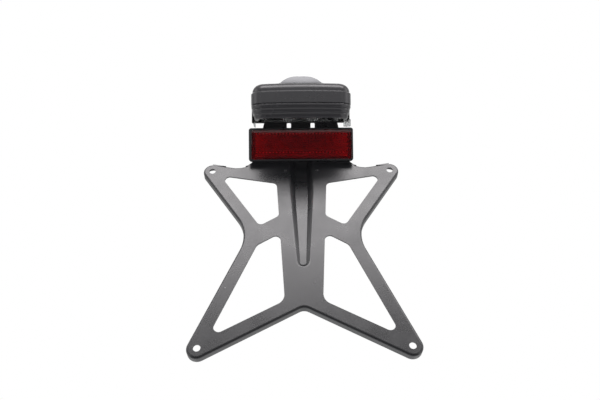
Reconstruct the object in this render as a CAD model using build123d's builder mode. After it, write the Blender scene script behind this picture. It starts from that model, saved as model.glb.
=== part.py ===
from build123d import *
from math import atan2, cos, degrees, radians, sin, sqrt, tan
import os

# Tail tidy: a pressed-steel number-plate carrier with a rear reflector and a number-plate lamp.
# The carrier's face lies in the XZ plane and looks along -Y, the way the number plate looks.
# The origin is the middle of the four number-plate holes, on that face, and +Z runs up the carrier.

# Number-plate carrier
hole_spacing_x = 170.0
hole_spacing_z = 180.0
plate_hole_diameter = 6.0
tip_radius = 8.5
sheet = 1.5
flange_depth = 7.5
edge_bend_radius = 2.0
top_edge_rise = 10.6
upper_side_lean = 33.4
lower_side_lean = 23.1
bottom_edge_fall = 28.0
waist_radius = 35.0
notch_radius = 8.0
shoulder_radius = 20.0
flange_run_out = 9.0

# Windows of the carrier
rail_width = 12.0
spine_half_width = 18.9
spine_lean = 3.5
cross_bar_apex_z = 40.3
cross_bar_fall = 31.8
cross_bar_width = 16.4
window_corner_radius = 4.5
outer_elbow_radius = 8.0
foot_corner_radius = 9.5

# Stiffening bead down the spine
bead_end_z = -11.0
bead_end_half_width = 5.9
bead_end_depth = 2.4
bead_end_wall_run = 3.3
bead_full_z = 64.0
bead_full_half_width = 10.8
bead_full_depth = 5.0
bead_full_wall_run = 4.9
bead_bend_depth = 7.0
bead_lip = 0.9
bead_run_out = 24.0
bead_run_out_depth = 1.6
bead_run_out_narrowing = 2.0
pip_spacing = 30.2
pip_z = 90.6
pip_radius = 1.5
pip_top_radius = 0.8
pip_height = 1.1

# Neck and mounting tongue
bend_z = 100.0
neck_lean = 35.0
bend_inner_radius = 7.0
neck_foot_half_width = 45.0
neck_elbow_z = 135.4
neck_half_width = 34.5
neck_length = 74.0
tongue_inner_radius = 4.0
tongue_length = 47.0
tongue_hole_spacing_x = 44.0
tongue_hole_spacing_y = 20.0
tongue_hole_diameter = 6.5
tongue_hole_setback = 28.0
tongue_corner_radius = 6.0
slot_spacing = 23.0
slot_width = 4.0
slot_top = 38.7
slot_length = 13.0
slot_corner_radius = 1.0

# Reflector
lens_width = 94.0
lens_height = 28.0
lens_thickness = 3.2
lens_rim = 2.4
lens_wall = 1.8
lens_proud = 0.4
lens_shift = 1.5
lens_corner_radius = 1.5
lens_clearance = 0.15
tray_width = 100.2
tray_height = 32.0
tray_depth = 6.6
tray_corner_radius = 2.4
tray_edge_radius = 0.8
tray_bottom = 0.9
tray_stand_off = 0.8
tray_boss_diameter = 12.0
tray_ledge = 2.0
tray_floor = 1.8
stud_spacing = 56.0
stud_diameter = 5.0
stud_reach = 9.0
stud_head_across = 8.0
stud_head_height = 1.6

# Fasteners on the back of the neck
hole_clearance = 0.5
m5_washer_diameter = 10.0
m5_washer_thickness = 1.0
m5_nut_across = 8.0
m5_nut_height = 4.0

# Lamp housing, measured up the neck and outwards from its face
lamp_base_gap = 1.5
lamp_base_thickness = 3.0
lamp_base_half_width = 47.2
lamp_bottom = 38.2
lamp_top = 70.1
lamp_base_corner_radius = 8.0
base_seal_thickness = 0.8
base_seal_width = 2.0
base_seal_inset = 0.4
cover_wall = 2.2
cover_reveal = 0.1
cover_side_draft = 1.2
cover_side_reach = 37.0
cover_crown_reach = 42.0
cover_corner_radius = 13.0
band_step = 1.1
band_top = 60.9
band_bottom = 51.0
upper_rib_top = 50.6
upper_rib_inset = 0.9
middle_rib_top = 46.6
middle_rib_inset = 1.5
lower_rib_top = 42.2
lower_rib_inset = 2.8
lip_level = 37.0
lip_inset = 5.0
rib_bulge = 1.0
lip_rise = 2.5
cover_screw_inset = 5.5
cover_screw_level = 59.0
cover_boss_length = 12.0

# Lamp lens, gasket and screws
ledge_top = 46.0
ledge_bottom = 44.2
ledge_inset = 11.0
gasket_thickness = 1.0
gasket_inset = 7.9
lens_flange_thickness = 2.0
lens_flange_inset = 7.6
tub_inset = 11.4
tub_wall = 1.8
tub_bottom = 38.9
cheek_inset = 0.4
cheek_taper = 2.0
cheek_wall = 1.4
cheek_depth = 4.2
cheek_top = 43.0
cheek_bottom = 33.6
cheek_clearance = 0.4
lug_width = 6.6
lug_overhang = 0.8
lug_depth = 4.4
lug_bottom = 34.0
screw_inset = 19.8
screw_reach = 28.2
screw_diameter = 3.0
screw_head_diameter = 5.6
screw_head_height = 2.3
screw_length = 10.0
screw_slot_length = 3.2
screw_slot_width = 0.8
screw_slot_depth = 1.2
screw_pocket_diameter = 6.4
screw_pillar_diameter = 9.4
screw_boss_diameter = 8.2
screw_boss_length = 9.0

# Bulb, holder, boot and cone mirror, all on one axis
bulb_reach = 19.0
holder_diameter = 20.4
holder_clearance = 0.3
holder_flange_diameter = 26.4
holder_flange_thickness = 2.0
holder_length = 9.0
holder_stub_diameter = 14.0
holder_stub_height = 3.0
bulb_diameter = 10.0
bulb_length = 12.0
bulb_cap_length = 6.0
bulb_chamfer = 2.0
blade_width = 4.0
blade_thickness = 0.8
blade_spacing = 6.0
blade_reach = 2.5
boot_half_width = 20.3
boot_half_depth = 10.4
boot_height = 9.4
boot_corner_radius = 5.0
boot_rim = 1.0
boot_rim_height = 1.2
boot_clearance = 0.4
inlet_rise = 5.1
inlet_diameter = 8.0
inlet_bore = 4.4
inlet_end_reach = 3.6
mirror_neck_radius = 10.5
mirror_height = 12.1
mirror_flare = 2.2
mirror_wall = 1.2
mirror_flange = 1.2

# Rubber-mounted fixing of the lamp
lamp_bolt_spacing = 40.0
lamp_bolt_level = 55.0
bolt_diameter = 6.0
bolt_head_across = 10.0
bolt_head_height = 4.0
bolt_flange_diameter = 14.0
bolt_flange_thickness = 1.2
bolt_engagement = 8.0
collar_wall = 1.0
grommet_waist_diameter = 12.0
grommet_flange_diameter = 18.0
grommet_flange_thickness = 1.5
lamp_boss_diameter = 12.0
lamp_boss_cap = 1.5

# Frames of the neck: its face, its levels and its middle section
lean = radians(neck_lean)
out = Vector(0, -cos(lean), -sin(lean))
up = Vector(0, -sin(lean), cos(lean))
neck = Plane(origin=(0, 0, bend_z), x_dir=(1, 0, 0), z_dir=out)
side_view = Plane(origin=(0, 0, bend_z), x_dir=out, z_dir=(-1, 0, 0))


def level(height):
    """Plane across the lamp at a height up the neck: local x is +X and local y is outwards."""
    return Plane(origin=neck.from_local_coords((0, height, 0)), x_dir=(1, 0, 0), z_dir=-up)


def meet(line_a, line_b):
    """Crossing point of two lines, each given as a point and a direction in degrees."""
    (ax, az), angle_a = line_a
    (bx, bz), angle_b = line_b
    ux, uz = cos(radians(angle_a)), sin(radians(angle_a))
    vx, vz = cos(radians(angle_b)), sin(radians(angle_b))
    reach = ((bx - ax) * vz - (bz - az) * vx) / (ux * vz - uz * vx)
    return (ax + reach * ux, az + reach * uz)


def beside(line, gap):
    """The same line moved to its left by a gap."""
    (x, z), angle = line
    return ((x - gap * sin(radians(angle)), z + gap * cos(radians(angle))), angle)


def mirrored(points):
    """Points of a right-hand outline followed by their mirror images, to close it."""
    return points + [(-x, z) for x, z in reversed(points) if x > 0]


def mirrored_radii(points, radii):
    """Corner radii that go with mirrored points."""
    return radii + [radius for (x, z), radius in reversed(list(zip(points, radii))) if x > 0]


# Edges of the carrier's right half, each tangent to the round tip about its hole
upper_hole = (hole_spacing_x / 2, hole_spacing_z / 2)
lower_hole = (hole_spacing_x / 2, -hole_spacing_z / 2)
bottom_edge = beside((lower_hole, -bottom_edge_fall), -tip_radius)
lower_side = beside((lower_hole, 90 + lower_side_lean), -tip_radius)
upper_side = beside((upper_hole, 90 - upper_side_lean), -tip_radius)
top_edge = beside((upper_hole, 180 + top_edge_rise), -tip_radius)
centre_line = ((0, 0), 90)
neck_side_run = (neck_half_width - neck_foot_half_width, neck_elbow_z - bend_z)
neck_side = ((neck_half_width, neck_elbow_z), degrees(atan2(neck_side_run[1], neck_side_run[0])))
spine_edge = ((spine_half_width, 0), 90 - spine_lean)
cross_bar_middle = ((0, cross_bar_apex_z), -cross_bar_fall)

notch = meet(bottom_edge, centre_line)
lower_tip = meet(bottom_edge, lower_side)
waist = meet(lower_side, upper_side)
upper_tip = meet(upper_side, top_edge)
shoulder = meet(top_edge, neck_side)
neck_elbow = (neck_half_width, neck_elbow_z)

# Folded path of the sheet's middle, from the carrier's face over the neck to the tongue
half_sheet = sheet / 2
bend_start = bend_z - bend_inner_radius * tan(lean / 2)
lower_corner = (half_sheet, bend_z + half_sheet * tan(lean / 2))
upper_corner = (lower_corner[0] - neck_length * sin(lean), lower_corner[1] + neck_length * cos(lean))
tongue_end = (upper_corner[0] + tongue_length, upper_corner[1])
tongue_top_z = upper_corner[1] + half_sheet
tongue_hole_y = upper_corner[0] + tongue_hole_setback

front_points = [
    notch,
    lower_tip,
    waist,
    upper_tip,
    shoulder,
    neck_elbow,
    (neck_half_width, tongue_top_z + sheet),
]
front_radii = [notch_radius, tip_radius, waist_radius, tip_radius, shoulder_radius, shoulder_radius, 0]


with BuildSketch() as front_view:
    with BuildLine():
        FilletPolyline(
            mirrored(front_points),
            radius=mirrored_radii(front_points, front_radii),
            close=True,
        )
    make_face()


def bead_station(distance):
    """Plane across the bead at a distance up the folded face; local y points into the sheet."""
    bend_length = bend_inner_radius * lean
    if distance <= bend_start:
        place, turn = (0, 0, distance), 0.0
    elif distance <= bend_start + bend_length:
        turn = (distance - bend_start) / bend_inner_radius
        place = (0, -bend_inner_radius * (1 - cos(turn)), bend_start + bend_inner_radius * sin(turn))
    else:
        turn = lean
        along = distance - bend_start - bend_length + bend_inner_radius * tan(lean / 2)
        place = neck.from_local_coords((0, along, 0))
    return Plane(origin=place, x_dir=(1, 0, 0), z_dir=(0, -sin(turn), cos(turn)))


def bead_side(half_width, depth, wall_run):
    """Right-hand side of the bead's hollow: its rolled edge, its wall and its floor."""
    slant = sqrt(wall_run**2 + depth**2)
    drop = bead_lip * depth / slant
    roll = bead_lip * wall_run / slant
    return [
        (half_width + bead_lip + half_sheet * (bead_lip + roll) / drop, -half_sheet),
        (half_width - roll, drop),
        (half_width - wall_run, depth),
    ]


def bead_back(half_width, depth, wall_run):
    """Right-hand side of the bead's outer form, one sheet outside the hollow."""
    slant = sqrt(wall_run**2 + depth**2)
    grown = half_width + sheet * slant / depth
    return [
        (grown - half_sheet * wall_run / depth, half_sheet),
        (grown - (depth + sheet) * wall_run / depth, depth + sheet),
    ]


bead_end = (bead_end_half_width, bead_end_depth, bead_end_wall_run)
bead_full = (bead_full_half_width, bead_full_depth, bead_full_wall_run)
bead_bend = (bead_full_half_width, bead_bend_depth, bead_full_wall_run)
bead_run_out_half_width = bead_full_half_width - bead_run_out_narrowing
bead_stops = [
    (bead_end_z, bead_end),
    (bead_full_z, bead_full),
    (bend_start, bead_bend),
    (bend_start + bend_inner_radius * lean / 2, bead_bend),
    (bend_start + bend_inner_radius * lean, bead_bend),
    (bend_start + bead_run_out, (bead_run_out_half_width, bead_run_out_depth, bead_full_wall_run)),
]


# Trough that stiffens the spine, the bend and the neck's foot: its outer form and its hollow
bead_forms = []
for half_section in (bead_back, bead_side):
    with BuildPart() as bead_form:
        for distance, form in bead_stops:
            with BuildSketch(bead_station(distance)):
                with BuildLine():
                    Polyline(*mirrored(half_section(*form)), close=True)
                make_face()
        loft(ruled=True)
        end_side = half_section(*bead_end)
        with BuildSketch(Plane.XY.offset(bead_end_z)):
            with BuildLine():
                Polyline((0, end_side[0][1]), *end_side, (0, end_side[-1][1]), close=True)
            make_face()
        revolve(axis=Axis((0, 0, bead_end_z), (0, 1, 0)), revolution_arc=360)
    bead_forms.append(bead_form.part)
bead_outside, bead_hollow = bead_forms

# Window outlines: lines that meet at their corners, and the corner radii
window_forms = [
    (
        [
            beside(upper_side, rail_width),
            beside(top_edge, rail_width),
            spine_edge,
            beside(cross_bar_middle, cross_bar_width / 2),
        ],
        [window_corner_radius] * 4,
    ),
    (
        [
            beside(lower_side, rail_width),
            beside(cross_bar_middle, -cross_bar_width / 2),
            spine_edge,
            beside(bottom_edge, rail_width),
        ],
        [outer_elbow_radius, window_corner_radius, foot_corner_radius, window_corner_radius],
    ),
]

# Folded strip of the neck and the mounting tongue
with BuildPart() as neck_strip:
    with BuildSketch(Plane.YZ):
        with BuildLine() as fold:
            FilletPolyline(
                (half_sheet, bend_start - sheet),
                lower_corner,
                upper_corner,
                tongue_end,
                radius=[bend_inner_radius + half_sheet, tongue_inner_radius + half_sheet],
            )
        trace(line_width=sheet)
    extrude(amount=hole_spacing_x / 2, both=True)
    with BuildSketch(Plane.XZ):
        add(front_view.sketch)
    extrude(amount=hole_spacing_z, both=True, mode=Mode.INTERSECT)
    fillet(neck_strip.edges().filter_by(Axis.Z).group_by(Axis.Y)[-1], radius=tongue_corner_radius)

# Carrier: one stamping with turned-back edges, four windows and the bead
with BuildPart() as plate_carrier:
    with BuildSketch(Plane.XZ):
        add(front_view.sketch)
    extrude(amount=-flange_depth)
    fillet(plate_carrier.faces().sort_by(Axis.Y)[0].outer_wire().edges(), radius=edge_bend_radius)
    with BuildSketch(Plane.XZ.offset(-sheet)):
        add(front_view.sketch)
        offset(amount=-sheet, kind=Kind.INTERSECTION)
    extrude(amount=-flange_depth, mode=Mode.SUBTRACT)
    # The turned-back edge runs out towards the bend
    with BuildSketch(Plane.YZ):
        with BuildLine():
            Polyline(
                (sheet, bend_start),
                (flange_depth, bend_start - flange_run_out),
                (flange_depth, tongue_top_z + sheet),
                (sheet, tongue_top_z + sheet),
                close=True,
            )
        make_face()
    extrude(amount=shoulder[0] + shoulder_radius, both=True, mode=Mode.SUBTRACT)
    with BuildSketch(Plane.YZ):
        with BuildLine():
            Polyline(
                (-sheet, bend_start),
                (flange_depth, bend_start),
                (flange_depth, tongue_top_z + 2 * sheet),
                (-sheet, tongue_top_z + 2 * sheet),
                close=True,
            )
        make_face()
    extrude(amount=shoulder[0] + shoulder_radius, both=True, mode=Mode.SUBTRACT)
    add(neck_strip.part)
    add(bead_outside)
    add(bead_hollow, mode=Mode.SUBTRACT)
    # Windows
    with BuildSketch(Plane.XZ.offset(sheet)):
        for lines, radii in window_forms:
            corners = [meet(line, lines[(i + 1) % 4]) for i, line in enumerate(lines)]
            for side in (1, -1):
                with BuildLine():
                    FilletPolyline([(side * x, z) for x, z in corners], radius=radii, close=True)
                make_face()
    extrude(amount=-2 * flange_depth, mode=Mode.SUBTRACT)
    # Number-plate holes
    with BuildSketch(Plane.XZ.offset(sheet)):
        with GridLocations(hole_spacing_x, hole_spacing_z, 2, 2):
            Circle(plate_hole_diameter / 2)
    extrude(amount=-2 * flange_depth, mode=Mode.SUBTRACT)
    # Slots, reflector stud holes and lamp grommet holes in the neck
    with BuildSketch(neck.offset(sheet)):
        with Locations((0, slot_top - slot_length / 2)):
            with GridLocations(slot_spacing, 0, 2, 1):
                RectangleRounded(slot_width, slot_length, slot_corner_radius)
        with Locations((0, tray_bottom + tray_height / 2)):
            with GridLocations(stud_spacing, 0, 2, 1):
                Circle(stud_diameter / 2 + hole_clearance / 2)
        with Locations((0, lamp_bolt_level)):
            with GridLocations(lamp_bolt_spacing, 0, 2, 1):
                Circle(grommet_waist_diameter / 2)
    extrude(amount=-3 * sheet, mode=Mode.SUBTRACT)
    # Mounting holes in the tongue
    with BuildSketch(Plane.XY.offset(tongue_top_z + sheet)):
        with Locations((0, tongue_hole_y)):
            with GridLocations(tongue_hole_spacing_x, tongue_hole_spacing_y, 2, 2):
                Circle(tongue_hole_diameter / 2)
    extrude(amount=-3 * sheet, mode=Mode.SUBTRACT)
    # Two pressed pips beside the bead's upper end, hollow from behind
    for side in (1, -1):
        with Locations(Location((side * pip_spacing / 2, -pip_height / 2, pip_z), (90, 0, 0))):
            Cone(pip_radius, pip_top_radius, pip_height)
        with Locations(Location((side * pip_spacing / 2, sheet, pip_z), (90, 0, 0))):
            Cylinder(pip_top_radius, sheet, mode=Mode.SUBTRACT)


# Reflector: tray, lens, and the two studs that hold the tray to the neck
tray_middle = tray_bottom + tray_height / 2
tray_front = tray_stand_off + tray_depth
stud_seat = tray_stand_off + tray_floor

with BuildPart() as reflector_tray:
    with BuildSketch(neck.offset(tray_stand_off)):
        with Locations((0, tray_middle)):
            RectangleRounded(tray_width, tray_height, tray_corner_radius)
    extrude(amount=tray_depth)
    tray_rim = reflector_tray.faces().sort_by(Axis(neck.origin, out))[-1]
    fillet(tray_rim.edges(), radius=tray_edge_radius)
    with BuildSketch(neck.offset(tray_front)):
        with Locations((lens_shift, tray_middle)):
            RectangleRounded(
                lens_width + 2 * lens_clearance,
                lens_height + 2 * lens_clearance,
                lens_corner_radius + lens_clearance,
            )
    extrude(amount=lens_proud - lens_thickness, mode=Mode.SUBTRACT)
    with BuildSketch(neck.offset(stud_seat)):
        with Locations((lens_shift, tray_middle)):
            Rectangle(lens_width - 2 * tray_ledge, lens_height - 2 * tray_ledge)
    extrude(amount=tray_depth, mode=Mode.SUBTRACT)
    with BuildSketch(neck):
        with Locations((0, tray_middle)):
            with GridLocations(stud_spacing, 0, 2, 1):
                Circle(tray_boss_diameter / 2)
    extrude(amount=tray_stand_off)
    with BuildSketch(neck):
        with Locations((0, tray_middle)):
            with GridLocations(stud_spacing, 0, 2, 1):
                Circle(stud_diameter / 2)
    extrude(amount=stud_seat, mode=Mode.SUBTRACT)

lens_back = tray_front + lens_proud - lens_thickness
with BuildPart() as reflector_lens:
    with BuildSketch(neck.offset(lens_back)):
        with Locations((lens_shift, tray_middle)):
            RectangleRounded(lens_width, lens_height, lens_corner_radius)
    extrude(amount=lens_thickness)
    fillet(reflector_lens.faces().sort_by(Axis(neck.origin, out))[-1].edges(), lens_proud)
    with BuildSketch(neck.offset(lens_back)):
        with Locations((lens_shift, tray_middle)):
            Rectangle(lens_width - 2 * lens_rim, lens_height - 2 * lens_rim)
    extrude(amount=lens_thickness - lens_wall, mode=Mode.SUBTRACT)

with BuildPart() as reflector_studs:
    with BuildSketch(neck.offset(stud_seat)):
        with Locations((0, tray_middle)):
            with GridLocations(stud_spacing, 0, 2, 1):
                RegularPolygon(stud_head_across / 2, 6, major_radius=False)
    extrude(amount=stud_head_height)
    with BuildSketch(neck.offset(stud_seat)):
        with Locations((0, tray_middle)):
            with GridLocations(stud_spacing, 0, 2, 1):
                Circle(stud_diameter / 2)
    extrude(amount=-(stud_seat + sheet + stud_reach))

washer_back = -(sheet + m5_washer_thickness)
with BuildPart() as reflector_washers:
    with BuildSketch(neck.offset(-sheet)):
        with Locations((0, tray_middle)):
            with GridLocations(stud_spacing, 0, 2, 1):
                Circle(m5_washer_diameter / 2)
                Circle(stud_diameter / 2 + hole_clearance / 2, mode=Mode.SUBTRACT)
    extrude(amount=-m5_washer_thickness)

with BuildPart() as reflector_nuts:
    with BuildSketch(neck.offset(washer_back)):
        with Locations((0, tray_middle)):
            with GridLocations(stud_spacing, 0, 2, 1):
                RegularPolygon(m5_nut_across / 2, 6, major_radius=False)
                Circle(stud_diameter / 2, mode=Mode.SUBTRACT)
    extrude(amount=-m5_nut_height)

# Places across the lamp that follow from its half width
cover_screw_spacing = 2 * (lamp_base_half_width - cover_screw_inset)
screw_spacing = 2 * (lamp_base_half_width - screw_inset)
cheek_half_width = lamp_base_half_width - cheek_inset

# Lamp base: the moulded back of the lamp, with two threaded bosses
base_front = lamp_base_gap + lamp_base_thickness
cover_start = base_front + base_seal_thickness
lamp_bolt_tip = lamp_base_gap + bolt_engagement
with BuildSketch() as base_outline:
    with BuildLine():
        FilletPolyline(
            (-lamp_base_half_width, lamp_bottom),
            (lamp_base_half_width, lamp_bottom),
            (lamp_base_half_width, lamp_top),
            (-lamp_base_half_width, lamp_top),
            radius=[slot_corner_radius, slot_corner_radius, lamp_base_corner_radius, lamp_base_corner_radius],
            close=True,
        )
    make_face()

with BuildPart() as lamp_base:
    with BuildSketch(neck.offset(lamp_base_gap)):
        add(base_outline.sketch)
        with Locations((0, cover_screw_level)):
            with GridLocations(cover_screw_spacing, 0, 2, 1):
                Circle(screw_diameter / 2 + hole_clearance / 2, mode=Mode.SUBTRACT)
    extrude(amount=lamp_base_thickness)
    with BuildSketch(neck.offset(base_front)):
        with Locations((0, lamp_bolt_level)):
            with GridLocations(lamp_bolt_spacing, 0, 2, 1):
                Circle(lamp_boss_diameter / 2)
    extrude(amount=lamp_bolt_tip + lamp_boss_cap - base_front)
    with BuildSketch(neck.offset(lamp_base_gap)):
        with Locations((0, lamp_bolt_level)):
            with GridLocations(lamp_bolt_spacing, 0, 2, 1):
                Circle(bolt_diameter / 2)
    extrude(amount=bolt_engagement, mode=Mode.SUBTRACT)

# Plan of the lamp cover: drafted sides and a crowned rear, run on past the base to be trimmed there
cover_half_width = lamp_base_half_width - cover_reveal
cover_rear_half_width = cover_half_width - cover_side_draft
plan_lap = ledge_inset + cover_wall
plan_start = (
    cover_half_width + plan_lap * cover_side_draft / (cover_side_reach - cover_start),
    cover_start - plan_lap,
)
with BuildSketch() as cover_plan:
    with BuildLine() as plan_lines:
        Line((-plan_start[0], plan_start[1]), (-cover_rear_half_width, cover_side_reach))
        ThreePointArc(
            (-cover_rear_half_width, cover_side_reach),
            (0, cover_crown_reach),
            (cover_rear_half_width, cover_side_reach),
        )
        Line((cover_rear_half_width, cover_side_reach), plan_start)
        fillet(plan_lines.vertices().sort_by(Axis.Y)[-2:], radius=cover_corner_radius)
        Line(plan_start, (-plan_start[0], plan_start[1]))
    make_face()
cover_path = Wire(cover_plan.edges().sort_by(Axis.Y)[1:]).moved(level(0).location)
path_start = cover_path @ 0
inward = 1 if path_start.X < 0 else -1
wall_section = Plane(origin=path_start, x_dir=(inward, 0, 0), z_dir=(cover_path % 0) * inward)

roof_inner = lamp_top - cover_wall
boss_top = ledge_bottom + screw_boss_length
lens_top = ledge_bottom - gasket_thickness
lens_flange_bottom = lens_top - lens_flange_thickness
shoulder_top = band_top + band_step
roof_edge_radius = lamp_top - shoulder_top
roof_inset = band_step + roof_edge_radius
rib_corners = [
    (lip_inset, lip_level),
    (lower_rib_inset, lower_rib_top),
    (middle_rib_inset, middle_rib_top),
    (upper_rib_inset, upper_rib_top),
]
with BuildPart() as lamp_cover:
    # Wall with its ribs, plain band, shoulder, roof edge and inner ledge, swept round the plan
    with BuildSketch(wall_section):
        with BuildLine():
            for low, high in zip(rib_corners, rib_corners[1:]):
                ThreePointArc(low, ((low[0] + high[0]) / 2 - rib_bulge, (low[1] + high[1]) / 2), high)
            Polyline(rib_corners[-1], (0, band_bottom), (0, band_top), (band_step, shoulder_top))
            CenterArc((roof_inset, shoulder_top), roof_edge_radius, start_angle=90, arc_size=90)
            Polyline(
                (roof_inset, lamp_top),
                (roof_inset + cover_wall, lamp_top),
                (roof_inset + cover_wall, roof_inner),
                (roof_inset, roof_inner),
                (band_step + cover_wall, shoulder_top),
                (cover_wall, band_top),
                (cover_wall, ledge_top),
                (ledge_inset, ledge_top),
                (ledge_inset, ledge_bottom),
                (middle_rib_inset + cover_wall, ledge_bottom),
                (lower_rib_inset + cover_wall, lower_rib_top),
                (lip_inset + cover_wall, lip_level),
                (lip_inset, lip_level),
            )
        make_face()
    sweep(path=cover_path)
    # Roof
    with BuildSketch(level(lamp_top)):
        add(cover_plan.sketch)
        offset(amount=-roof_inset)
    extrude(amount=cover_wall)
    # Bosses for the lens screws and the cover screws
    with BuildSketch(level(boss_top)):
        with Locations((0, screw_reach)):
            with GridLocations(screw_spacing, 0, 2, 1):
                Circle(screw_boss_diameter / 2)
    extrude(amount=screw_boss_length)
    with BuildSketch(neck.offset(cover_start)):
        with Locations((0, cover_screw_level)):
            with GridLocations(cover_screw_spacing, 0, 2, 1):
                Circle(screw_boss_diameter / 2)
    extrude(amount=cover_boss_length)
    # Open side against the base
    with BuildSketch(neck.offset(cover_start)):
        Rectangle(4 * plan_start[0], 4 * lamp_top)
    extrude(amount=-2 * plan_lap, mode=Mode.SUBTRACT)
    # Sloping lower lip
    with BuildSketch(side_view):
        with BuildLine():
            Polyline(
                (-plan_lap, lip_level + lip_rise * (1 + plan_lap / cover_crown_reach)),
                (cover_crown_reach + plan_lap, lip_level - lip_rise * plan_lap / cover_crown_reach),
                (cover_crown_reach + plan_lap, 0),
                (-plan_lap, 0),
                close=True,
            )
        make_face()
    extrude(amount=2 * plan_start[0], both=True, mode=Mode.SUBTRACT)
    # Corners cut back for the cheeks of the lens
    with BuildSketch(neck.offset(cover_start)):
        with Locations((0, cheek_top + cheek_clearance)):
            Rectangle(4 * plan_start[0], lamp_top, align=(Align.CENTER, Align.MAX))
    extrude(amount=cheek_depth + cheek_clearance, mode=Mode.SUBTRACT)
    # Pilot holes for the lens screws and the cover screws
    with BuildSketch(level(lens_flange_bottom + screw_length)):
        with Locations((0, screw_reach)):
            with GridLocations(screw_spacing, 0, 2, 1):
                Circle(screw_diameter / 2)
    extrude(amount=screw_length, mode=Mode.SUBTRACT)
    with BuildSketch(neck.offset(cover_start)):
        with Locations((0, cover_screw_level)):
            with GridLocations(cover_screw_spacing, 0, 2, 1):
                Circle(screw_diameter / 2)
    extrude(amount=screw_length - base_seal_thickness - lamp_base_thickness, mode=Mode.SUBTRACT)
    # Round hole in the roof for the bulb holder
    with BuildSketch(level(lamp_top + cover_wall)):
        with Locations((0, bulb_reach)):
            Circle(holder_diameter / 2 + holder_clearance)
    extrude(amount=3 * cover_wall, mode=Mode.SUBTRACT)


# Seal ring between the base and the cover, and the two screws that close them
with BuildPart() as base_seal:
    with BuildSketch(neck.offset(base_front)):
        add(base_outline.sketch)
        offset(amount=-base_seal_inset)
        with BuildSketch(neck.offset(base_front), mode=Mode.SUBTRACT):
            add(base_outline.sketch)
            offset(amount=-base_seal_inset - base_seal_width)
    extrude(amount=base_seal_thickness)

with BuildPart() as cover_screws:
    with BuildSketch(neck.offset(lamp_base_gap)):
        with Locations((0, cover_screw_level)):
            with GridLocations(cover_screw_spacing, 0, 2, 1):
                Circle(screw_diameter / 2)
    extrude(amount=screw_length)
    with BuildSketch(neck.offset(lamp_base_gap)):
        with Locations((0, cover_screw_level)):
            with GridLocations(cover_screw_spacing, 0, 2, 1):
                Circle(screw_head_diameter / 2)
    extrude(amount=-screw_head_height)
    with BuildSketch(neck.offset(lamp_base_gap - screw_head_height)):
        with Locations((0, cover_screw_level)):
            with GridLocations(cover_screw_spacing, 0, 2, 1):
                Rectangle(screw_slot_length, screw_slot_width)
                Rectangle(screw_slot_width, screw_slot_length)
    extrude(amount=screw_slot_depth, mode=Mode.SUBTRACT)

# Gasket under the cover's ledge
with BuildPart() as lens_gasket:
    with BuildSketch(level(ledge_bottom)):
        add(cover_plan.sketch)
        offset(amount=-gasket_inset)
        with BuildSketch(level(ledge_bottom), mode=Mode.SUBTRACT):
            add(cover_plan.sketch)
            offset(amount=-ledge_inset)
        with Locations((0, screw_reach)):
            with GridLocations(screw_spacing, 0, 2, 1):
                Circle(screw_pillar_diameter / 2)
                Circle(screw_diameter / 2, mode=Mode.SUBTRACT)
        with Locations((0, cover_start)):
            Rectangle(4 * plan_start[0], lamp_top, align=(Align.CENTER, Align.MIN), mode=Mode.INTERSECT)
    extrude(amount=gasket_thickness)

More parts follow.
